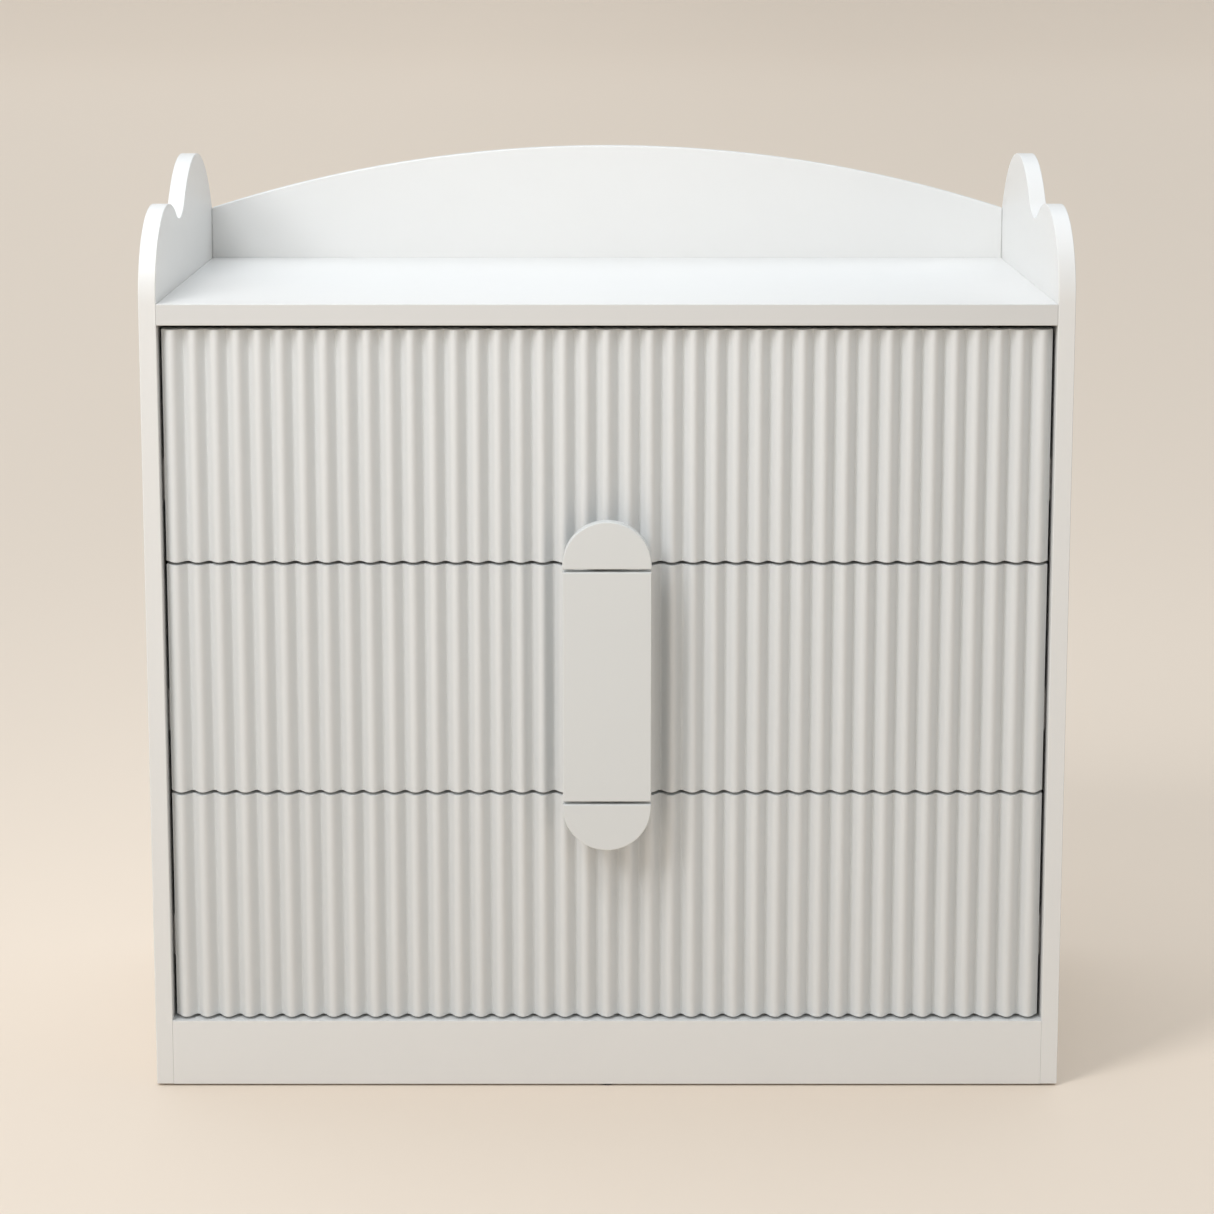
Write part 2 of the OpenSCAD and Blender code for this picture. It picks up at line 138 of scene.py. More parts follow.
class Recipe:
    """Builds one material's node tree around a Principled shader."""

    def __init__(self, name: str) -> None:
        """Starts an empty material.

        Args:
            name: the material's name.
        """
        self.material = bpy.data.materials.new(name)
        self.material.use_nodes = True
        self.tree = self.material.node_tree
        self.shader = next(n for n in self.tree.nodes if n.type == "BSDF_PRINCIPLED")
        self.place = self.node("ShaderNodeTexCoord").outputs["Object"]

    def node(self, kind: str, settings: dict | None = None, inputs: dict | None = None) -> bpy.types.Node:
        """Adds a node.

        Args:
            kind: the node's type.
            settings: attributes, set before the inputs.
            inputs: socket names with their values, sockets or signals.

        Returns:
            The new node.
        """
        made = self.tree.nodes.new(kind)
        for key, value in (settings or {}).items():
            setattr(made, key, value)
        for key, value in (inputs or {}).items():
            source = value.socket if isinstance(value, Signal) else value
            if isinstance(source, bpy.types.NodeSocket):
                self.tree.links.new(source, made.inputs[key])
            else:
                made.inputs[key].default_value = source
        return made

    def along(self, axis: Axis) -> Signal:
        """Returns the object's own coordinate along an axis."""
        parts = self.node("ShaderNodeSeparateXYZ", {}, {"Vector": self.place})
        return Signal(self.tree, parts.outputs[axis.name])

    def noise(self, scale: float, detail: float = 2.0, rough: float = 0.5,
              stretch: Sequence[float] = (1, 1, 1)) -> Signal:
        """Adds a noise pattern.

        Args:
            scale: how many features a metre holds.
            detail: octaves.
            rough: strength of the finer octaves.
            stretch: scale along each axis.

        Returns:
            The pattern, from 0 to 1 around 0.5.
        """
        mapping = self.node(
            "ShaderNodeMapping", {"vector_type": "POINT"}, {"Vector": self.place, "Scale": tuple(stretch)}
        )
        made = self.node(
            "ShaderNodeTexNoise",
            {"noise_dimensions": "3D"},
            {"Vector": mapping.outputs["Vector"], "Scale": scale, "Detail": detail, "Roughness": rough},
        )
        return Signal(self.tree, made.outputs[0])

    def paint(self, mask: Signal, colour: Colour, low: float, high: float) -> None:
        """Feeds the base colour with a colour whose tone follows a mask.

        Args:
            mask: the pattern.
            colour: the mean colour.
            low: factor on the colour where the mask is 0.
            high: factor where it is 1.
        """
        mix = self.node("ShaderNodeMix", {"data_type": "RGBA", "clamp_factor": True})
        self.tree.links.new(mask.socket, mix.inputs[0])
        for socket, factor in ((mix.inputs[6], low), (mix.inputs[7], high)):
            socket.default_value = (*(min(1.0, c * factor) for c in colour), 1.0)
        self.tree.links.new(mix.outputs[2], self.shader.inputs["Base Color"])

    def bump(self, height: Signal, distance: float) -> None:
        """Feeds the shader's normal from a height pattern, where distance is what 1 stands for."""
        made = self.node("ShaderNodeBump", {}, {"Height": height, "Distance": distance, "Strength": 1.0})
        self.tree.links.new(made.outputs["Normal"], self.shader.inputs["Normal"])

    def feed(self, socket: str, value: Signal | float) -> None:
        """Sets or links one of the shader's sockets.

        Args:
            socket: the socket's name.
            value: a number, or the signal to link.
        """
        target = self.shader.inputs[socket]
        if isinstance(value, Signal):
            self.tree.links.new(value.socket, target)
        else:
            target.default_value = value


# ---------------------------------------------------------------- finishes


@dataclass(frozen=True)
class Finish:
    """What every finish has: a name, and a material made once.

    Attributes:
        name: the material's name.
        slot: the record's material slot; not used.
        colour: the base colour, linear.
    """

    name: str
    slot: str
    colour: Colour

    def material(self) -> bpy.types.Material:
        """Returns the finish's material, made on first use."""
        known = bpy.data.materials.get(self.name)
        return known if known else self.mix(Recipe(self.name)).material

    def mix(self, recipe: Recipe) -> Recipe:
        """Fills the recipe in; each finish has its own way."""
        raise NotImplementedError


@dataclass(frozen=True)
class SprayedLacquer(Finish):
    """Satin lacquer sprayed on fibreboard: faint tone clouds and a fine orange peel.

    Attributes:
        roughness: the satin's mean roughness.
        peel: height of the orange peel in metres.
    """

    roughness: float = 0.42
    peel: float = 0.00002

    def mix(self, recipe: Recipe) -> Recipe:
        """Builds the lacquer.

        Args:
            recipe: the material's recipe.

        Returns:
            The same recipe, filled in.
        """
        clouds = recipe.noise(5.0, 3.0, 0.55)
        handling = recipe.noise(38.0, 4.0, 0.6)
        recipe.paint(clouds, self.colour, 0.985, 1.012)
        recipe.feed("Roughness", (handling - 0.5) * 0.12 + self.roughness)
        recipe.feed("Coat Weight", 0.12)
        recipe.feed("Coat Roughness", 0.22)
        recipe.bump(recipe.noise(420.0, 2.0) * 0.7 + recipe.noise(1300.0, 1.0) * 0.3, self.peel)
        return recipe


@dataclass(frozen=True)
class ShadedEdgeLacquer(SprayedLacquer):
    """Satin lacquer on a board whose front edge is painted darker, a painted shade on that edge.

    Attributes:
        front: Y of the board's front edge.
        shade_depth: how far the painted shade reaches back from the front edge, in metres.
        edge_shade: factor on the colour in the painted shade.
    """

    front: float = 0.0
    shade_depth: float = 0.0006
    edge_shade: float = 0.85

    def mix(self, recipe: Recipe) -> Recipe:
        """Builds the lacquer, then paints shade on the front edge.

        Args:
            recipe: the material's recipe.

        Returns:
            The same recipe, filled in.
        """
        super().mix(recipe)
        # painted shade: the board's front edge is darkened by the edge factor
        board = recipe.along(Axis.Y).above(self.front + self.shade_depth, self.shade_depth / 2)
        tone = board * 0.92 + recipe.noise(5.0, 3.0, 0.55) * 0.08
        recipe.paint(tone, self.colour, self.edge_shade, 1.005)
        return recipe


@dataclass(frozen=True)
class MilledLacquer(Finish):
    """Matt lacquer on milled reeds: tool lines run along Z under the paint.

    Attributes:
        roughness: the matt paint's mean roughness.
    """

    roughness: float = 0.52

    def mix(self, recipe: Recipe) -> Recipe:
        """Builds the lacquer.

        Args:
            recipe: the material's recipe.

        Returns:
            The same recipe, filled in.
        """
        clouds = recipe.noise(4.0, 3.0, 0.55)
        lines = recipe.noise(300.0, 2.0, 0.5, stretch=(1, 1, 0.012))
        tone = clouds * 0.7 + lines * 0.3
        recipe.paint(tone, self.colour, 0.975, 1.02)
        recipe.feed("Roughness", (recipe.noise(60.0, 3.0) - 0.5) * 0.1 + self.roughness)
        recipe.feed("Coat Weight", 0.05)
        recipe.feed("Coat Roughness", 0.35)
        recipe.bump(lines * 0.6 + recipe.noise(600.0, 2.0) * 0.4, 0.00003)
        return recipe


@dataclass(frozen=True)
class Melamine(Finish):
    """White melamine with a fine pearl grain."""

    def mix(self, recipe: Recipe) -> Recipe:
        """Builds the melamine.

        Args:
            recipe: the material's recipe.

        Returns:
            The same recipe, filled in.
        """
        pearl = recipe.noise(700.0, 2.0)
        tone = recipe.noise(9.0, 2.0)
        recipe.paint(tone * 0.6 + pearl * 0.4, self.colour, 0.97, 1.02)
        recipe.feed("Roughness", pearl * 0.16 + 0.4)
        recipe.bump(pearl, 0.00004)
        return recipe


@dataclass(frozen=True)
class Hardboard(Finish):
    """The raw rear face of thin fibreboard: matted fibres and darker specks."""

    def mix(self, recipe: Recipe) -> Recipe:
        """Builds the hardboard.

        Args:
            recipe: the material's recipe.

        Returns:
            The same recipe, filled in.
        """
        fibres = recipe.noise(160.0, 6.0, 0.7, stretch=(0.35, 1, 1))
        specks = recipe.noise(900.0, 2.0).above(0.64, 0.06)
        tone = recipe.noise(3.0, 2.0) * 0.5 + fibres * 0.5 - specks * 0.25
        recipe.paint(tone, self.colour, 0.8, 1.12)
        recipe.feed("Roughness", fibres * 0.2 + 0.62)
        recipe.bump(fibres, 0.00015)
        return recipe


@dataclass(frozen=True)
class PlatedSteel(Finish):
    """Zinc-plated steel with rolling lines.

    Attributes:
        roughness: the plating's mean roughness.
        lines: stretch of the rolling lines along each axis.
    """

    roughness: float = 0.34
    lines: tuple[float, float, float] = (1.0, 0.02, 1.0)

    def mix(self, recipe: Recipe) -> Recipe:
        """Builds the steel.

        Args:
            recipe: the material's recipe.

        Returns:
            The same recipe, filled in.
        """
        rolled = recipe.noise(900.0, 3.0, 0.6, stretch=self.lines)
        bloom = recipe.noise(45.0, 3.0, 0.6)
        recipe.feed("Metallic", 1.0)
        recipe.paint(bloom * 0.6 + rolled * 0.4, self.colour, 0.82, 1.12)
        recipe.feed("Roughness", rolled * 0.18 + bloom * 0.1 + (self.roughness - 0.14))
        recipe.bump(rolled, 0.00002)
        return recipe


@dataclass(frozen=True)
class Beech(Finish):
    """Steamed beech: long grain with short dark flecks."""

    def mix(self, recipe: Recipe) -> Recipe:
        """Builds the wood.

        Args:
            recipe: the material's recipe.

        Returns:
            The same recipe, filled in.
        """
        grain = recipe.noise(60.0, 5.0, 0.6, stretch=(0.15, 1, 1))
        flecks = recipe.noise(500.0, 2.0, 0.5, stretch=(0.12, 1, 1)).above(0.6, 0.1)
        recipe.paint(grain - flecks * 0.35, self.colour, 0.72, 1.15)
        recipe.feed("Roughness", grain * 0.2 + 0.5)
        recipe.bump(grain - flecks, 0.0001)
        return recipe


@dataclass(frozen=True)
class MouldedPlastic(Finish):
    """Spark-eroded plastic."""

    def mix(self, recipe: Recipe) -> Recipe:
        """Builds the plastic.

        Args:
            recipe: the material's recipe.

        Returns:
            The same recipe, filled in.
        """
        grain = recipe.noise(1500.0, 2.0)
        recipe.paint(recipe.noise(80.0), self.colour, 0.85, 1.2)
        recipe.feed("Roughness", grain * 0.2 + 0.42)
        recipe.bump(grain, 0.00005)
        return recipe


@dataclass(frozen=True)
class StudioPaper(Finish):
    """A seamless warm paper floor with painted shade, darker in front of the chest and to its right.

    Attributes:
        deepest_shade: factor on the colour where the painted shade is darkest.
        reach: depth over which the painted shade in front of the chest fades, in metres.
        width: width over which the painted shade to the right grows, in metres.
    """

    deepest_shade: float = 0.91
    reach: float = 2.5
    width: float = 4.0

    def mix(self, recipe: Recipe) -> Recipe:
        """Builds the paper.

        Args:
            recipe: the material's recipe.

        Returns:
            The same recipe, filled in.
        """
        back = recipe.along(Axis.Y).above(-0.5, self.reach)
        right = recipe.along(Axis.X).above(-1.5, self.width)
        # painted shade: the floor is darker in front of the chest and towards its right, where its shadow
        # falls
        recipe.paint(back * -0.45 + right * 0.75 + 0.45, self.colour, 1.0, self.deepest_shade)
        recipe.feed("Roughness", recipe.noise(120.0, 2.0) * 0.1 + 0.8)
        recipe.feed("Specular IOR Level", 0.2)
        recipe.bump(recipe.noise(900.0, 2.0), 0.00003)
        return recipe


WHITE = SprayedLacquer("white_satin_lacquer", "lacquer", (0.815, 0.82, 0.815))
# the tray's front edge gets a painted shade
TRAY_WHITE = ShadedEdgeLacquer(
    "tray_satin_lacquer", "lacquer", WHITE.colour, front=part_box("changing_top")[0].y
)
REED_GREY = MilledLacquer("reed_matt_lacquer", "reeded_lacquer", (0.75, 0.767, 0.772))
HANDLE_GREY = SprayedLacquer("handle_matt_lacquer", "handle_lacquer", (0.73, 0.75, 0.752), roughness=0.5)
BOX_WHITE = Melamine("white_melamine", "box_board", (0.78, 0.775, 0.755))
REAR_BOARD = Hardboard("rear_hardboard", "rear_board", (0.66, 0.63, 0.57))
RAIL_ZINC = PlatedSteel("rail_zinc", "rail_steel", (0.63, 0.64, 0.66))
FIXING_ZINC = PlatedSteel("fixing_zinc", "fixing_steel", (0.6, 0.61, 0.63), roughness=0.3, lines=(1, 1, 1))
BALL_STEEL = PlatedSteel("ball_steel", "fixing_steel", (0.72, 0.72, 0.73), roughness=0.2, lines=(1, 1, 1))
BEECH = Beech("beech", "beech", (0.6, 0.4, 0.24))
BLACK_PLASTIC = MouldedPlastic("black_plastic", "glide_plastic", (0.035, 0.035, 0.037))
PAPER = StudioPaper("studio_paper", "lacquer", (0.91, 0.79, 0.67))


# ---------------------------------------------------------------- workshop


class Bench:
    """Hand operations on meshes, each on one piece with nothing else selected."""

    @staticmethod
    def only(piece: bpy.types.Object) -> None:
        """Selects one piece and makes it active.

        Args:
            piece: the piece.
        """
        bpy.ops.object.select_all(action="DESELECT")
        piece.select_set(True)
        bpy.context.view_layer.objects.active = piece

    @staticmethod
    def named(name: str) -> bpy.types.Object:
        """Names the object that a primitive operator has just made, and settles its place in its mesh.

        Args:
            name: the piece's name.

        Returns:
            The piece.
        """
        piece = bpy.context.object
        piece.name = name
        piece.data.name = name
        Bench.settle(piece)
        return piece

    @staticmethod
    def settle(piece: bpy.types.Object) -> None:
        """Puts a piece's place, turn and scale into its mesh."""
        Bench.only(piece)
        bpy.ops.object.transform_apply(location=True, rotation=True, scale=True)

    @staticmethod
    def edit(piece: bpy.types.Object, kind: str, work: Callable[[], None]) -> None:
        """Does work in edit mode.

        Args:
            piece: the piece to work on.
            kind: VERT, EDGE or FACE, the select mode.
            work: the operators to call.
        """
        Bench.only(piece)
        bpy.ops.object.mode_set(mode="EDIT")
        bpy.ops.mesh.select_mode(type=kind)
        work()
        bpy.ops.object.mode_set(mode="OBJECT")

    @staticmethod
    def round_edges(piece: bpy.types.Object, radius: float, segments: int = 3, corner: float = 50.0) -> None:
        """Bevels every edge that is sharper than a corner angle.

        Args:
            piece: the piece.
            radius: the bevel's width in metres.
            segments: its segments.
            corner: the least angle in degrees.
        """

        def work() -> None:
            """Selects the sharp edges and bevels them."""
            bpy.ops.mesh.select_all(action="DESELECT")
            bpy.ops.mesh.edges_select_sharp(sharpness=math.radians(corner))
            bpy.ops.mesh.bevel(offset=radius, segments=segments, profile=0.5, affect="EDGES")

        Bench.edit(piece, "EDGE", work)

    @staticmethod
    def board(
        name: str, low: Sequence[float], high: Sequence[float], radius: float = 0.0
    ) -> bpy.types.Object:
        """Cuts a board to its box and rounds its edges.

        Args:
            name: the piece's name.
            low: lowest corner.
            high: highest corner.
            radius: edge rounding.

        Returns:
            The board.
        """
        lowest, highest = Vector(low), Vector(high)
        bpy.ops.mesh.primitive_cube_add(size=1, location=(lowest + highest) / 2, scale=highest - lowest)
        piece = Bench.named(name)
        if radius:
            Bench.round_edges(piece, radius)
        return piece

    @staticmethod
    def outline(name: str, points: Sequence[Point], axis: Axis, start: float, end: float) -> bpy.types.Object:
        """Saws an outline out of a board.

        Args:
            name: the piece's name.
            points: the outline, in the two axes other than the board's own, in X, Y, Z order.
            axis: the direction of the board's thickness.
            start: where the board starts along that axis.
            end: where it ends.

        Returns:
            The sawn board.
        """
        bpy.ops.mesh.primitive_circle_add(vertices=len(points), fill_type="NGON")
        piece = Bench.named(name)
        others = [a.value for a in Axis if a is not axis]
        for vertex, point in zip(piece.data.vertices, points):
            place = [start] * 3
            place[others[0]], place[others[1]] = point
            vertex.co = place
        reach = [0.0] * 3
        reach[axis.value] = end - start

        def work() -> None:
            """Draws the face out into a board and turns its faces outwards."""
            bpy.ops.mesh.select_all(action="SELECT")
            bpy.ops.mesh.extrude_region_move(TRANSFORM_OT_translate={"value": reach})
            bpy.ops.mesh.select_all(action="SELECT")
            bpy.ops.mesh.normals_make_consistent(inside=False)

        Bench.edit(piece, "FACE", work)
        return piece

    @staticmethod
    def rod(name: str, axis: Axis, centre: Sequence[float], radius: float, length: float,
            sides: int = 24, rounding: float = 0.0) -> bpy.types.Object:
        """Turns a rod.

        Args:
            name: the piece's name.
            axis: its direction.
            centre: its middle.
            radius: its radius.
            length: its length.
            sides: facets round it.
            rounding: bevel of its two rims.

        Returns:
            The rod.
        """
        turn = {Axis.X: (0, math.pi / 2, 0), Axis.Y: (math.pi / 2, 0, 0), Axis.Z: (0, 0, 0)}[axis]
        bpy.ops.mesh.primitive_cylinder_add(
            vertices=sides, radius=radius, depth=length, location=Vector(centre), rotation=turn
        )
        piece = Bench.named(name)
        if rounding:
            Bench.round_edges(piece, rounding, 2)
        return piece

    @staticmethod
    def join(name: str, parts: Sequence[bpy.types.Object]) -> bpy.types.Object:
        """Joins parts into one piece.

        Args:
            name: the joined piece's name.
            parts: what is joined.

        Returns:
            The joined piece.
        """
        bpy.ops.object.select_all(action="DESELECT")
        for part in parts:
            part.select_set(True)
        bpy.context.view_layer.objects.active = parts[0]
        if len(parts) > 1:
            bpy.ops.object.join()
        piece = bpy.context.view_layer.objects.active
        piece.name = name
        piece.data.name = name
        return piece

    @staticmethod
    def copy(piece: bpy.types.Object, change: Matrix) -> bpy.types.Object:
        """Copies a piece with its own mesh.

        Args:
            piece: the piece to copy.
            change: where the copy goes.

        Returns:
            The copy.
        """
        twin = piece.copy()
        twin.data = piece.data.copy()
        bpy.context.scene.collection.objects.link(twin)
        twin.data.transform(change)
        return twin

    @staticmethod
    def cut(piece: bpy.types.Object, cutter: bpy.types.Object) -> None:
        """Cuts one piece out of another and throws the cutter away.

        Args:
            piece: the piece that is cut.
            cutter: the shape that is taken out of it.
        """
        Bench.only(piece)
        modifier = piece.modifiers.new("cut", "BOOLEAN")
        modifier.operation = "DIFFERENCE"
        modifier.solver = "EXACT"
        modifier.object = cutter
        bpy.ops.object.modifier_apply(modifier=modifier.name)
        bpy.data.objects.remove(cutter)

    @staticmethod
    def smooth(piece: bpy.types.Object) -> None:
        """Shades a piece smooth up to FLAT_ANGLE, with the broad faces kept flat.

        Args:
            piece: the piece.
        """
        Bench.only(piece)
        bpy.ops.object.shade_smooth_by_angle(angle=FLAT_ANGLE)
        modifier = piece.modifiers.new("flat_faces", "WEIGHTED_NORMAL")
        modifier.keep_sharp = True
        modifier.weight = 100
        bpy.ops.object.modifier_apply(modifier=modifier.name)


@dataclass
class Fitter:
    """Hands finished pieces over to the frame.

    Attributes:
        count: pieces handed over so far.
    """

    count: int = 0

    def fit(self, piece: bpy.types.Object, finish: Finish, body: str, *nodes: str) -> bpy.types.Object:
        """Dresses a piece and fixes it to its body.

        Args:
            piece: the finished mesh.
            finish: its finish.
            body: the body that it moves with.
            nodes: the CAD nodes that it stands for.

        Returns:
            The piece.
        """
        Bench.smooth(piece)
        piece.data.materials.clear()
        piece.data.materials.append(finish.material())
        for face in piece.data.polygons:
            face.material_index = 0
        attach(piece, body)
        if nodes:
            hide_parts(*nodes)
        self.count += 1
        LOG.info("%-28s %6d faces on %s", piece.name, len(piece.data.polygons), body)
        return piece

    @staticmethod
    def dress(node: str, finish: Finish) -> None:
        """Gives a carried-over CAD node its finish.

        Args:
            node: the CAD node.
            finish: its finish.
        """
        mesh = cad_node(node).data
        mesh.materials.clear()
        mesh.materials.append(finish.material())
        LOG.info("%-28s carried over", node)


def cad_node(node: str) -> bpy.types.Object:
    """Returns the object of a CAD node."""
    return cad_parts[node]


def solids_of(node: str) -> list[Box]:
    """Finds the separate solids of a CAD node.

    Args:
        node: the node's name.

    Returns:
        Each solid's lowest and highest corner, sorted by place.
    """
    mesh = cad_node(node).data
    keys = [tuple(round(c, 5) for c in v.co) for v in mesh.vertices]
    root: dict[tuple, tuple] = {k: k for k in keys}

    def find(key: tuple) -> tuple:
        """Follows a corner to the first corner of its solid.

        Args:
            key: a corner.

        Returns:
            The first corner.
        """
        while root[key] != key:
            root[key] = root[root[key]]
            key = root[key]
        return key

    for face in mesh.polygons:
        first, *rest = (keys[i] for i in face.vertices)
        for other in rest:
            root[find(other)] = find(first)
    groups: dict[tuple, list[tuple]] = {}
    for key in set(keys):
        groups.setdefault(find(key), []).append(key)
    boxes = [
        (Vector(map(min, zip(*group))), Vector(map(max, zip(*group)))) for group in groups.values()
    ]
    return sorted(boxes, key=lambda box: tuple(round(c, 4) for c in (*box[0], *box[1])))


def arc(centre: Point, radius: Point, start: float, end: float, steps: int) -> list[Point]:
    """Returns points along an elliptical arc between two angles in degrees."""
    angles = (math.radians(start + (end - start) * k / steps) for k in range(steps + 1))
    return [(centre[0] + radius[0] * math.cos(a), centre[1] + radius[1] * math.sin(a)) for a in angles]


# ---------------------------------------------------------------- cabinet


@dataclass
class SideGuard:
    """A side panel, whose upper edge has a front lobe, a hollow and a higher rear lobe.

    Attributes:
        side: which side it stands on.
        lobe_a: half length of the front lobe.
        lobe_b: height of the front lobe above the tray.
        rear_radius: radius of the rear lobe.
        rear_centre: distance of the rear lobe's centre from the front edge.
        valley: radius of the hollow.
        rounding: radius of the sanded edges.
    """

    side: Side
    lobe_a: float = 118 * MM
    lobe_b: float = 93 * MM
    rear_radius: float = 171 * MM
    rear_centre: float = 369 * MM
    valley: float = 65 * MM
    rounding: float = 1.0 * MM

    def fillet(self, centre: Point) -> tuple[Point, float]:
        """Finds the circle that blends the front lobe into the rear one.

        Args:
            centre: the rear lobe's centre, with the front lobe's centre as the origin.

        Returns:
            The hollow's centre, and the angle on the front lobe where it starts.
        """
        low, high = 0.0, math.pi / 2
        for _ in range(60):
            angle = (low + high) / 2
            on = (self.lobe_a * math.cos(angle), self.lobe_b * math.sin(angle))
            normal = Vector((math.cos(angle) / self.lobe_a, math.sin(angle) / self.lobe_b)).normalized()
            spot = (on[0] + self.valley * normal.x, on[1] + self.valley * normal.y)
            if math.dist(spot, centre) > self.rear_radius + self.valley:
                high = angle
            else:
                low = angle
        return spot, angle

    def profile(self, low: Vector, high: Vector, tray: float) -> list[Point]:
        """Draws the panel's outline in Y and Z.

        Args:
            low: the CAD panel's lowest corner.
            high: its highest corner.
            tray: height of the tray's upper face.

        Returns:
            The outline's points.
        """
        front = (low.y + self.lobe_a, tray)
        rear = (low.y + self.rear_centre, high.z - self.rear_radius)
        spot, angle = self.fillet((rear[0] - front[0], rear[1] - front[1]))
        hollow = (front[0] + spot[0], front[1] + spot[1])
        on = (front[0] + self.lobe_a * math.cos(angle), front[1] + self.lobe_b * math.sin(angle))
        start = math.degrees(math.atan2(on[1] - hollow[1], on[0] - hollow[0]))
        end = math.degrees(math.atan2(rear[1] - hollow[1], rear[0] - hollow[0]))
        join = math.degrees(math.atan2(hollow[1] - rear[1], hollow[0] - rear[0]))
        last = math.degrees(math.acos((high.y - rear[0]) / self.rear_radius))
        lobe = arc(front, (self.lobe_a, self.lobe_b), 180, math.degrees(angle), 40)
        dip = arc(hollow, (self.valley, self.valley), start % 360, end % 360, 16)
        crown = arc(rear, (self.rear_radius, self.rear_radius), join, last, 40)
        return [(high.y, low.z), (low.y, low.z), *lobe, *dip[1:-1], *crown]

    def build(self, fitter: Fitter) -> None:
        """Saws the guard out and sands its edges.

        Args:
            fitter: takes the finished pieces over.
        """
        node = f"{self.side.name.lower()}_side_panel"
        low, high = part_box(node)
        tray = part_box("changing_top")[1].z
        piece = Bench.outline(
            f"{self.side.name.lower()}_guard_board", self.profile(low, high, tray), Axis.X, low.x, high.x
        )
        Bench.round_edges(piece, self.rounding, 4)
        fitter.fit(piece, WHITE, "cabinet", node)


@dataclass
class Tray:
    """The open tray: its floor and the arched board behind it.

    Attributes:
        rounding: radius of the floor's sanded edges.
        arch_rounding: radius of the arched board's sanded edges.
        arch_end: height of the arch above the tray at its ends.
    """

    rounding: float = 0.9 * MM
    arch_rounding: float = 1.6 * MM
    arch_end: float = 58 * MM

    def build(self, fitter: Fitter) -> None:
        """Builds the tray's two boards.

        Args:
            fitter: takes the finished pieces over.
        """
        low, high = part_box("changing_top")
        top = Bench.board("tray_board", low, high, self.rounding)
        fitter.fit(top, TRAY_WHITE, "cabinet", "changing_top")
        self.build_arch(fitter, high.z)

    def build_arch(self, fitter: Fitter, tray: float) -> None:
        """Saws the arched back board.

        Args:
            fitter: takes the finished pieces over.
            tray: height of the tray's upper face.
        """
        low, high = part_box("arched_back_board")
        rise = high.z - tray - self.arch_end
        radius = (high.x**2 + rise**2) / (2 * rise)
        half = math.degrees(math.asin(high.x / radius))
        crown = arc((0.0, high.z - radius), (radius, radius), 90 + half, 90 - half, 64)
        points = [(high.x, low.z), (low.x, low.z), *crown]
        piece = Bench.outline("arch_board", points, Axis.Y, low.y, high.y)
        Bench.round_edges(piece, self.arch_rounding, 4)
        fitter.fit(piece, WHITE, "cabinet", "arched_back_board")


@dataclass
class Base:
    """The plinth frame under the chest, and what it stands on.

    Attributes:
        rounding: radius of the boards' sanded edges.
        block_rounding: radius of the glue blocks' edges.
        foot: height of a glide's foot.
        nail: radius of a glide's nail.
    """

    rounding: float = 0.35 * MM
    block_rounding: float = 1.5 * MM
    foot: float = 2 * MM
    nail: float = 1.2 * MM

    def build(self, fitter: Fitter) -> None:
        """Builds the boards, glue blocks and glides.

        Args:
            fitter: takes the finished pieces over.
        """
        boards = {
            "plinth_front_board": "front_plinth",
            "plinth_rear_board": "rear_plinth",
            "plinth_brace_board": "plinth_brace",
            "base_board": "bottom_panel",
        }
        for name, node in boards.items():
            fitter.fit(Bench.board(name, *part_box(node), self.rounding), WHITE, "cabinet", node)
        blocks = [Bench.board("block", *box, self.block_rounding) for box in solids_of("corner_blocks")]
        fitter.fit(Bench.join("glue_blocks", blocks), BEECH, "cabinet", "corner_blocks")
        self.build_glides(fitter)

    def build_glides(self, fitter: Fitter) -> None:
        """Turns the glides: a domed foot and its nail.

        Args:
            fitter: takes the finished pieces over.
        """
        foot, parts = self.foot, []
        for low, high in solids_of("floor_glides"):
            x, y, _ = (low + high) / 2
            wide = (high.x - low.x) / 2
            parts += [
                Bench.rod("glide", Axis.Z, (x, y, low.z + foot / 2), wide, foot, 32, 0.3 * foot),
                Bench.rod("nail", Axis.Z, (x, y, (foot + high.z) / 2), self.nail, high.z - foot, 12),
            ]
        fitter.fit(Bench.join("glide_set", parts), BLACK_PLASTIC, "cabinet", "floor_glides")


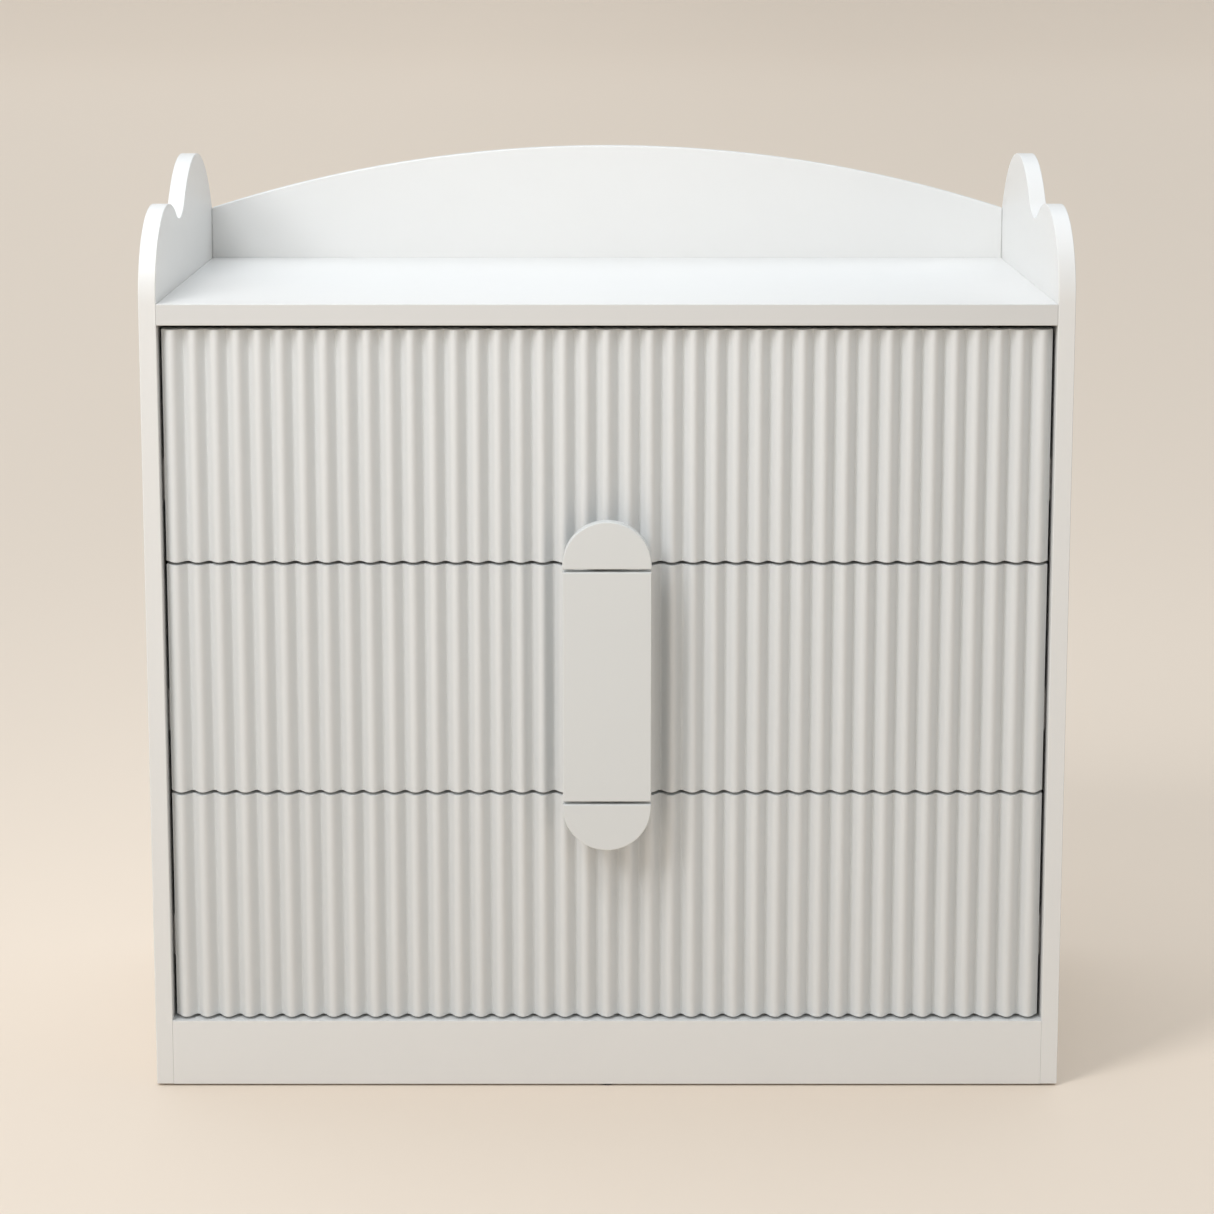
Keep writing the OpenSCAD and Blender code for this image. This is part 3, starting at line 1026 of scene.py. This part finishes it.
@dataclass
class RearPanel:
    """The thin panel behind the drawers, with its pins and the wall brackets.

    Attributes:
        bend: inner radius of the brackets' bend.
        sheet: thickness of their steel.
        hole: radius of their wall hole.
        hole_drop: how far it is below their top.
        pin_head: thickness of a pin's head.
        pin_shank: radius of a pin's shank.
        head_least: least radius of a solid that gets a head.
        panel_rounding: radius of the panel's edges.
        steel_rounding: radius of the brackets' edges.
    """

    bend: float = 2 * MM
    sheet: float = 2 * MM
    hole: float = 3 * MM
    hole_drop: float = 25 * MM
    pin_head: float = 1 * MM
    pin_shank: float = 0.9 * MM
    head_least: float = 2 * MM
    panel_rounding: float = 0.4 * MM
    steel_rounding: float = 0.35 * MM

    def build(self, fitter: Fitter) -> None:
        """Builds the panel, its pins and the brackets.

        Args:
            fitter: takes the finished pieces over.
        """
        sheet = Bench.board("rear_sheet", *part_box("rear_panel"), self.panel_rounding)
        fitter.fit(sheet, REAR_BOARD, "cabinet", "rear_panel")
        self.build_pins(fitter)
        brackets = [self.bracket(*box) for box in solids_of("wall_brackets")]
        fitter.fit(Bench.join("bracket_pair", brackets), FIXING_ZINC, "cabinet", "wall_brackets")

    def build_pins(self, fitter: Fitter) -> None:
        """Builds the panel pins with their flat heads.

        Args:
            fitter: takes the finished pieces over.
        """
        head, parts = self.pin_head, []
        for low, high in solids_of("rear_panel_pins"):
            x, _, z = (low + high) / 2
            wide = (high.x - low.x) / 2
            if wide > self.head_least:
                parts.append(Bench.rod("pin", Axis.Y, (x, high.y - head / 2, z), wide, head, 20, 0.35 * head))
            reach = high.y - head - low.y
            parts.append(Bench.rod("shank", Axis.Y, (x, low.y + reach / 2, z), self.pin_shank, reach, 8))
        fitter.fit(Bench.join("rear_pin_set", parts), FIXING_ZINC, "cabinet", "rear_panel_pins")

    def bracket(self, low: Vector, high: Vector) -> bpy.types.Object:
        """Bends one bracket and drills its wall hole.

        Args:
            low: its lowest corner.
            high: its highest corner.

        Returns:
            The bracket.
        """
        sheet = self.sheet
        outer = self.bend + sheet
        outside = arc((high.y - outer, high.z - outer), (outer, outer), 90, 0, 8)
        inside = arc((high.y - outer, high.z - outer), (self.bend, self.bend), 0, 90, 8)
        points = [(low.y, high.z), *outside, (high.y, low.z), (high.y - sheet, low.z), *inside,
                  (low.y, high.z - sheet)]
        plate = Bench.outline("bracket", points, Axis.X, low.x, high.x)
        Bench.round_edges(plate, self.steel_rounding, 2)
        spot = ((low.x + high.x) / 2, high.y, high.z - self.hole_drop)
        Bench.cut(plate, Bench.rod("drill", Axis.Y, spot, self.hole, 6 * sheet, 32))
        return plate


# ---------------------------------------------------------------- fixings


@dataclass
class Screw:
    """A pan-head screw with a cross recess, modelled once at the origin along +Z and copied.

    Attributes:
        head_radius: radius of the head.
        head_height: height of the head.
        shank_radius: radius of the shank.
        length: length of the shank.
    """

    head_radius: float
    head_height: float
    shank_radius: float
    length: float

    def pattern(self) -> bpy.types.Object:
        """Models the screw, its head's underside at the origin and the head towards +Z.

        Returns:
            The screw.
        """
        head = Bench.rod("head", Axis.Z, (0, 0, self.head_height / 2), self.head_radius, self.head_height, 28)

        def dome() -> None:
            """Rounds the head's upper rim."""
            bpy.ops.mesh.bevel(offset=self.head_height * 0.55, segments=4, profile=0.5, affect="EDGES")

        for edge in head.data.edges:
            edge.select = all(head.data.vertices[i].co.z > self.head_height * 0.9 for i in edge.vertices)
        for vertex in head.data.vertices:
            vertex.select = vertex.co.z > self.head_height * 0.9
        Bench.edit(head, "EDGE", dome)
        wide, deep = self.head_radius * 0.95, self.head_height * 0.6
        for sides in ((wide, wide * 0.22), (wide * 0.22, wide)):
            low = (-sides[0] / 2, -sides[1] / 2, self.head_height - deep)
            high = (sides[0] / 2, sides[1] / 2, self.head_height + deep)
            Bench.cut(head, Bench.board("cross", low, high))
        bpy.ops.mesh.primitive_cone_add(
            vertices=14, radius1=self.shank_radius * 0.35, radius2=self.shank_radius,
            depth=self.length * 0.2, location=(0, 0, -self.length * 0.9),
        )
        tip = Bench.named("tip")
        straight = self.length * 0.8
        shank = Bench.rod("shank", Axis.Z, (0, 0, -straight / 2), self.shank_radius, straight, 14)
        return Bench.join("screw", [head, shank, tip])


@dataclass
class ScrewSet:
    """Screws where a CAD node has them.

    Attributes:
        head_heights: head height by head radius in tenths of a millimetre.
    """

    head_heights: dict[int, float] = field(
        default_factory=lambda: {34: 1.5 * MM, 35: 2 * MM, 40: 2.5 * MM, 45: 3 * MM}
    )

    def build(self, node: str) -> bpy.types.Object:
        """Copies screws to every place in a node.

        Args:
            node: the CAD node of the screws.

        Returns:
            The joined screws.
        """
        patterns: dict[tuple[int, int], bpy.types.Object] = {}
        parts = []
        for low, high in solids_of(node):
            size = high - low
            axis = max(Axis, key=lambda a: size[a.value])
            radius = min(size[a.value] for a in Axis if a is not axis) / 2
            height = self.head_heights.get(round(radius * 1e4), 2 * MM)
            key = (round(radius * 1e4), round(size[axis.value] * 1e4))
            if key not in patterns:
                patterns[key] = Screw(radius, height, radius * 0.48, size[axis.value] - height).pattern()
            parts.append(Bench.copy(patterns[key], self.place(node, low, high, axis, height)))
        for pattern in patterns.values():
            bpy.data.objects.remove(pattern)
        return Bench.join(f"{node}_set", parts)

    @staticmethod
    def place(node: str, low: Vector, high: Vector, axis: Axis, height: float) -> Matrix:
        """Finds how a screw is turned and where its head sits.

        Args:
            node: the CAD node of the screws.
            low: the screw's lowest corner.
            high: its highest corner.
            axis: its direction.
            height: its head's height.

        Returns:
            The matrix that puts the pattern there.
        """
        middle = (low + high) / 2
        if axis is Axis.Y:
            sign = 1.0
        elif axis is Axis.Z:
            sign = -1.0
        else:
            inward = -1.0 if middle.x > 0 else 1.0
            sign = inward if node.startswith("cabinet") else -inward
        seat = middle.copy()
        seat[axis.value] = (high if sign > 0 else low)[axis.value] - sign * height
        direction = Vector((0, 0, 0))
        direction[axis.value] = sign
        turn = Vector((0, 0, 1)).rotation_difference(direction)
        return Matrix.Translation(seat) @ turn.to_matrix().to_4x4()


@dataclass
class CabinetFixings:
    """Cam locks, bolts, dowels and screws that hold the cabinet together."""

    def build(self, fitter: Fitter) -> None:
        """Builds the screws, and dresses the hidden fittings.

        Args:
            fitter: takes the finished pieces over.
        """
        for node in ("back_board_screws", "bracket_screws", "cabinet_rail_screws"):
            fitter.fit(ScrewSet().build(node), FIXING_ZINC, "cabinet", node)
        fitter.dress("cam_locks", FIXING_ZINC)
        fitter.dress("cam_bolts", FIXING_ZINC)
        fitter.dress("wood_dowels", BEECH)


# ---------------------------------------------------------------- rails


@dataclass
class RailSet:
    """The telescopic rails of one drawer: cabinet, middle and drawer members on both sides.

    Attributes:
        level: the drawer's level.
        sheet: thickness of the rolled sheet.
        race: radius of the rounded ball races at the flanges.
        ball: radius of the balls.
        balls: balls in each row.
        lip: how far the flanges' rounded edges reach past the centre of their curve.
        cage_in: from the middle member's inner face to the cages' middle.
        cage_half: half width and half thickness of a cage strip.
        row: where a row of balls starts and how long it is, as shares of the rail.
        margin: how far the strip reaches past the row, as a share of the rail.
        play: between the balls and the middle member.
    """

    level: Level
    sheet: float = 1.2 * MM
    race: float = 1.8 * MM
    ball: float = 1.2 * MM
    balls: int = 9
    lip: float = 1 * MM
    cage_in: float = 3.4 * MM
    cage_half: Point = (1.6 * MM, 0.3 * MM)
    row: Point = (0.45, 0.5)
    margin: float = 0.02
    play: float = 0.05 * MM

    def channel(self, low: Vector, high: Vector, open_low: bool) -> list[Point]:
        """Draws a rolled channel's section in X and Z.

        Args:
            low: the member's lowest corner.
            high: its highest corner.
            open_low: whether its flanges point towards lower X.

        Returns:
            The section's points.
        """
        width = high.x - low.x
        centre_z = (low.z + high.z) / 2
        half = (high.z - low.z) / 2
        outer, inner = self.race, self.race - self.sheet
        edge = width - self.lip
        upper = [
            (0.0, 0.0), *arc((outer, half - outer), (outer, outer), 180, 90, 6),
            *arc((edge, half - outer), (outer * 0.55, outer), 90, -20, 6),
            *arc((edge, half - outer), (inner * 0.5, inner), -20, 90, 4),
            *arc((outer, half - outer), (inner, inner), 90, 180, 6), (self.sheet, 0.0),
        ]
        lower = [(x, -z) for x, z in reversed(upper[1:-1])]
        section = upper + lower
        sign = -1 if open_low else 1
        start = high.x if open_low else low.x
        return [(start + sign * x, centre_z + z) for x, z in section]

    def member(self, node: str, faces_panel: bool) -> bpy.types.Object:
        """Rolls both rails of one kind.

        Args:
            node: the CAD node of the rails.
            faces_panel: whether the flanges point towards the side panel.

        Returns:
            The pair.
        """
        parts = []
        for low, high in solids_of(node):
            on_right = low.x > 0
            points = self.channel(low, high, on_right != faces_panel)
            parts.append(Bench.outline("rail", points, Axis.Y, low.y, high.y))
        return Bench.join(f"{node}_pair", parts)

    def cages(self) -> bpy.types.Object:
        """Builds the ball cages between the members, along the rear half of the middle rails.

        Returns:
            The cages of both sides.
        """
        node = f"{self.level.value}_middle_rails"
        bpy.ops.mesh.primitive_ico_sphere_add(subdivisions=2, radius=self.ball)
        pattern = Bench.named("ball")
        (wide, thick), (start, share) = self.cage_half, self.row
        parts = []
        for low, high in solids_of(node):
            inner = low.x if low.x > 0 else high.x
            x = inner + math.copysign(self.cage_in, low.x)
            length = high.y - low.y
            for edge, sign in ((low.z, -1), (high.z, 1)):
                z = edge + sign * (self.ball + self.play)
                for k in range(self.balls):
                    y = low.y + length * (start + share * k / (self.balls - 1))
                    parts.append(Bench.copy(pattern, Matrix.Translation((x, y, z))))
                strip_low = (x - wide, low.y + length * (start - self.margin), z - thick)
                strip_high = (x + wide, low.y + length * (start + share + self.margin), z + thick)
                parts.append(Bench.board("cage", strip_low, strip_high, thick / 3))
        bpy.data.objects.remove(pattern)
        return Bench.join(f"{self.level.value}_ball_cages", parts)

    def build(self, fitter: Fitter) -> None:
        """Builds the three members and the ball cages.

        Args:
            fitter: takes the finished pieces over.
        """
        word = self.level.value
        for part, body, faces_panel in (
            ("cabinet", "cabinet", False),
            ("middle", f"{word}_rail_slides", False),
            ("drawer", f"{word}_drawer", True),
        ):
            node = f"{word}_{part}_rails"
            fitter.fit(self.member(node, faces_panel), RAIL_ZINC, body, node)
        fitter.fit(self.cages(), BALL_STEEL, f"{word}_rail_slides")


# ---------------------------------------------------------------- drawers


@dataclass
class ReededFront:
    """A drawer front with vertical reeds.

    Attributes:
        level: the drawer's level.
        reeds: number of reeds.
        depth: depth of the grooves.
        warp: how much broader the crests are than the grooves, in radians.
        steps: stretches across one reed.
        rounding: radius of the sanded ends.
    """

    level: Level
    reeds: int = 41
    depth: float = 11 * MM
    warp: float = math.radians(17)
    steps: int = 20
    rounding: float = 0.7 * MM

    def section(self, low: Vector, high: Vector) -> list[Point]:
        """Draws the front's section in X and Y, with the reeds towards lower Y.

        Args:
            low: the front's lowest corner.
            high: its highest corner.

        Returns:
            The section's points.
        """
        count = self.reeds * self.steps
        points = []
        for k in range(count + 1):
            turn = FULL_TURN * k / self.steps
            wave = (1 + math.cos(turn + self.warp * math.sin(turn))) / 2
            points.append((low.x + (high.x - low.x) * k / count, low.y + self.depth * wave))
        return [*points, (high.x, high.y), (low.x, high.y)]

    def build(self, fitter: Fitter) -> None:
        """Mills the front.

        Args:
            fitter: takes the finished pieces over.
        """
        word = self.level.value
        node = f"{word}_drawer_front"
        low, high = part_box(node)
        piece = Bench.outline(f"{word}_reeded_front", self.section(low, high), Axis.Z, low.z, high.z)
        Bench.round_edges(piece, self.rounding, 2)
        fitter.fit(piece, REED_GREY, f"{word}_drawer", node)


@dataclass
class CapsuleHandle:
    """One drawer's piece of the capsule-shaped handle, and the neck that holds it.

    Attributes:
        level: the drawer's level.
        rounding: radius of the plate's edges.
        neck_rounding: radius of the neck's edges.
        steps: stretches round a semicircular end.
    """

    level: Level
    rounding: float = 1.3 * MM
    neck_rounding: float = 0.6 * MM
    steps: int = 48

    def outline(self, low: Vector, high: Vector) -> list[Point]:
        """Draws a piece's outline in X and Z: straight, or with one semicircular end.

        Args:
            low: the piece's lowest corner.
            high: its highest corner.

        Returns:
            The outline's points.
        """
        radius = high.x
        ring = (radius, radius)
        if self.level is Level.MIDDLE:
            return [(low.x, low.z), (high.x, low.z), (high.x, high.z), (low.x, high.z)]
        if self.level is Level.TOP:
            return [(low.x, low.z), (high.x, low.z), *arc((0, high.z - radius), ring, 0, 180, self.steps)]
        return [(high.x, high.z), (low.x, high.z), *arc((0, low.z + radius), ring, 180, 360, self.steps)]

    def build(self, fitter: Fitter) -> None:
        """Saws the plate and its neck and rounds their edges.

        Args:
            fitter: takes the finished pieces over.
        """
        word = self.level.value
        for part, name, radius in (
            ("handle_plate", "grip_plate", self.rounding), ("handle_neck", "grip_neck", self.neck_rounding)
        ):
            node = f"{word}_{part}"
            low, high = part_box(node)
            piece = Bench.outline(f"{word}_{name}", self.outline(low, high), Axis.Y, low.y, high.y)
            Bench.round_edges(piece, radius, 3)
            fitter.fit(piece, HANDLE_GREY, f"{word}_drawer", node)


@dataclass
class Drawer:
    """One drawer: reeded front, box, handle piece and screws.

    Attributes:
        level: its level.
        rounding: radius of the box boards' edges.
        sheet_rounding: radius of the box bottom's edges.
    """

    level: Level
    rounding: float = 0.9 * MM
    sheet_rounding: float = 0.3 * MM

    def build(self, fitter: Fitter) -> None:
        """Builds the drawer from its front to its screws.

        Args:
            fitter: takes the finished pieces over.
        """
        word = self.level.value
        body = f"{word}_drawer"
        ReededFront(self.level).build(fitter)
        CapsuleHandle(self.level).build(fitter)
        for part in ("box_front", "box_back", "box_left", "box_right"):
            node = f"{word}_{part}"
            fitter.fit(Bench.board(f"{node}_board", *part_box(node), self.rounding), BOX_WHITE, body, node)
        node = f"{word}_box_bottom"
        fitter.fit(Bench.board(f"{node}_sheet", *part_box(node), self.sheet_rounding), BOX_WHITE, body, node)
        node = f"{word}_drawer_screws"
        fitter.fit(ScrewSet().build(node), FIXING_ZINC, body, node)


# ---------------------------------------------------------------- studio


@dataclass
class Studio:
    """Pale floor, soft light and the camera.

    Attributes:
        distance: from the cabinet's front edges to the camera.
        height: of the camera above the floor.
        pitch: how far the camera looks down, in degrees.
        lens: focal length in millimetres on a 36 mm sensor.
        shift: the frame's vertical shift.
        sight: how far the camera sees.
        flat: radius of the floor's flat part.
        sweep: radius of the curve that turns the floor up into the backdrop.
        steps: stretches of that curve.
        sky_colour: colour of the light from all round.
        sky_strength: its strength.
    """

    distance: float = 3.4
    height: float = 1.208
    pitch: float = 10.17
    lens: float = 98.9
    shift: float = -0.06
    sight: float = 300.0
    flat: float = 30.0
    sweep: float = 20.0
    steps: int = 16
    sky_colour: Colour = (0.87, 0.96, 1.03)
    sky_strength: float = 0.48

    def build(self) -> None:
        """Builds the floor, the light and the camera."""
        self.floor()
        self.lights()
        self.camera()
        bpy.context.scene.view_settings.view_transform = "Standard"

    def floor(self) -> None:
        """Lays the floor out far beyond the chest and curves its rim up into a backdrop."""
        bpy.ops.mesh.primitive_circle_add(vertices=128, radius=self.flat, fill_type="NGON")
        paper = Bench.named("studio_floor")
        Bench.edit(paper, "EDGE", self.raise_rim)
        bpy.ops.object.shade_smooth()
        paper.data.materials.append(PAPER.material())

    def raise_rim(self) -> None:
        """Extrudes the floor's rim outwards and upwards along a quarter circle."""
        bpy.ops.mesh.select_all(action="SELECT")
        bpy.ops.mesh.region_to_loop()
        reach, rise = self.flat, 0.0
        for step in range(1, self.steps + 1):
            turn = math.radians(90) * step / self.steps
            out, up = self.flat + self.sweep * math.sin(turn), self.sweep * (1 - math.cos(turn))
            bpy.ops.mesh.extrude_region_move(TRANSFORM_OT_translate={"value": (0, 0, up - rise)})
            bpy.ops.transform.resize(value=(out / reach, out / reach, 1), center_override=(0, 0, up))
            reach, rise = out, up

    def lights(self) -> None:
        """Sets a soft sky, a wide overhead light, a key light at the upper left and a softbox on the tray."""
        world = bpy.data.worlds.new("studio_sky")
        bpy.context.scene.world = world
        world.use_nodes = True
        sky = next(n for n in world.node_tree.nodes if n.type == "BACKGROUND")
        sky.inputs["Color"].default_value = (*self.sky_colour, 1)
        sky.inputs["Strength"].default_value = self.sky_strength
        overhead = self.lamp("overhead", "SUN", 1.15, (0, 0, 3), (0.02, -0.3, 2))
        overhead.angle = math.radians(75)
        key = self.lamp("key", "AREA", 31, (-2.0, -2.4, 2.5), (0, -0.25, 0.5))
        key.size = 1.1
        top_softbox = self.lamp("top_softbox", "AREA", 3.2, (-0.9, -1.3, 2.6), (0.1, 0.2, 0.84))
        top_softbox.size = 0.7
        top_softbox.spread = math.radians(70)

    @staticmethod
    def lamp(
        name: str, kind: str, power: float, place: Sequence[float], target: Sequence[float]
    ) -> bpy.types.Light:
        """Adds one light that the camera doesn't see.

        Args:
            name: its name.
            kind: its type.
            power: its strength.
            place: where it is.
            target: what it points at.

        Returns:
            The light's data.
        """
        light = bpy.data.lights.new(name, kind)
        light.energy = power
        light.color = (1.0, 1.0, 1.0)
        holder = bpy.data.objects.new(name, light)
        holder.location = place
        holder.rotation_euler = (Vector(target) - Vector(place)).to_track_quat("-Z", "Y").to_euler()
        holder.visible_camera = False
        bpy.context.scene.collection.objects.link(holder)
        return light

    def camera(self) -> None:
        """Sets the camera up in front of the chest, above the tray and looking down at it."""
        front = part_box("front_plinth")[0].y
        data = bpy.data.cameras.new("camera")
        data.lens = self.lens
        data.shift_y = self.shift
        data.clip_end = self.sight
        holder = bpy.data.objects.new("camera", data)
        holder.location = (0, front - self.distance, self.height)
        holder.rotation_euler = (math.radians(90 - self.pitch), 0, 0)
        bpy.context.scene.collection.objects.link(holder)
        bpy.context.scene.camera = holder


def main() -> None:
    """Builds every sub-assembly in order, then the studio."""
    logging.basicConfig(level=logging.INFO, format="%(message)s")
    fitter = Fitter()
    for side in Side:
        SideGuard(side).build(fitter)
    Tray().build(fitter)
    Base().build(fitter)
    RearPanel().build(fitter)
    CabinetFixings().build(fitter)
    for level in Level:
        RailSet(level).build(fitter)
        Drawer(level).build(fitter)
    Studio().build()
    LOG.info("%d pieces built", fitter.count)


if __name__ == "__main__":
    main()
